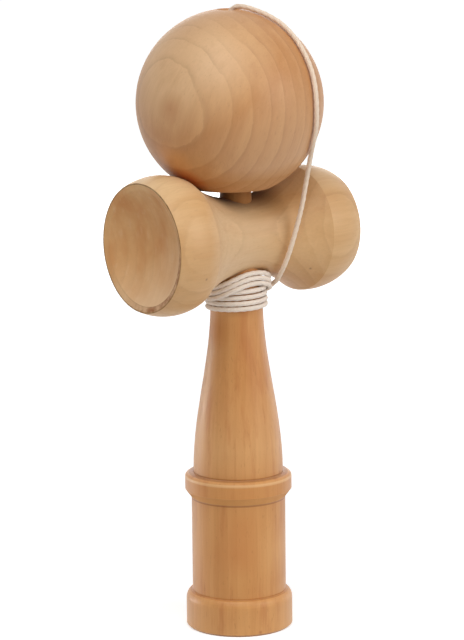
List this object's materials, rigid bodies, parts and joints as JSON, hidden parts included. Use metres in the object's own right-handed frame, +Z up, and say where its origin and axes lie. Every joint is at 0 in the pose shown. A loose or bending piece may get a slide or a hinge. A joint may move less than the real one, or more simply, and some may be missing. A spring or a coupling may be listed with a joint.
{
  "type": "cup and ball toy",
  "caption": "Wooden cup and ball toy: turned handle with a spike and cupped foot, cross cups pressed on it, a bored ball resting on the spike, and one string wound under the cups.",
  "frame": {"origin": "centre of the handle's foot, on the surface that it stands on", "axes": "+Z up along the handle's axis, -X toward the big cup, +Y to the back where the string leaves the cross cups"},
  "size_m": [0.0754, 0.06, 0.2036],
  "materials": {
    "handle_wood": "clear satin oil on turned hardwood",
    "cup_wood": "clear satin oil on turned hardwood",
    "ball_wood": "clear satin oil on turned hardwood",
    "bead_wood": "plain turned hardwood",
    "string": "matt braided cord"
  },
  "bodies": {
    "handle": {"ken": "handle_wood", "cross_cups": "cup_wood", "ken_knot": "string", "string_tail": "string", "string_winding": "string"},
    "string_end": {"bead": "bead_wood", "bead_knot": "string", "string_lead": "string"},
    "ball": {"ball": "ball_wood"}
  },
  "joints": [
    {"name": "ball_lift", "type": "slide", "parent": "handle", "child": "string_end", "axis": [0, 0, 1], "range_m": [0, 0.045], "deforming": ["string_lead"]},
    {"name": "ball_spin", "type": "hinge", "parent": "string_end", "child": "ball", "pos_m": [-0.002, 0, 0.1722], "axis": [0, 0, 1], "continuous": true}
  ]
}
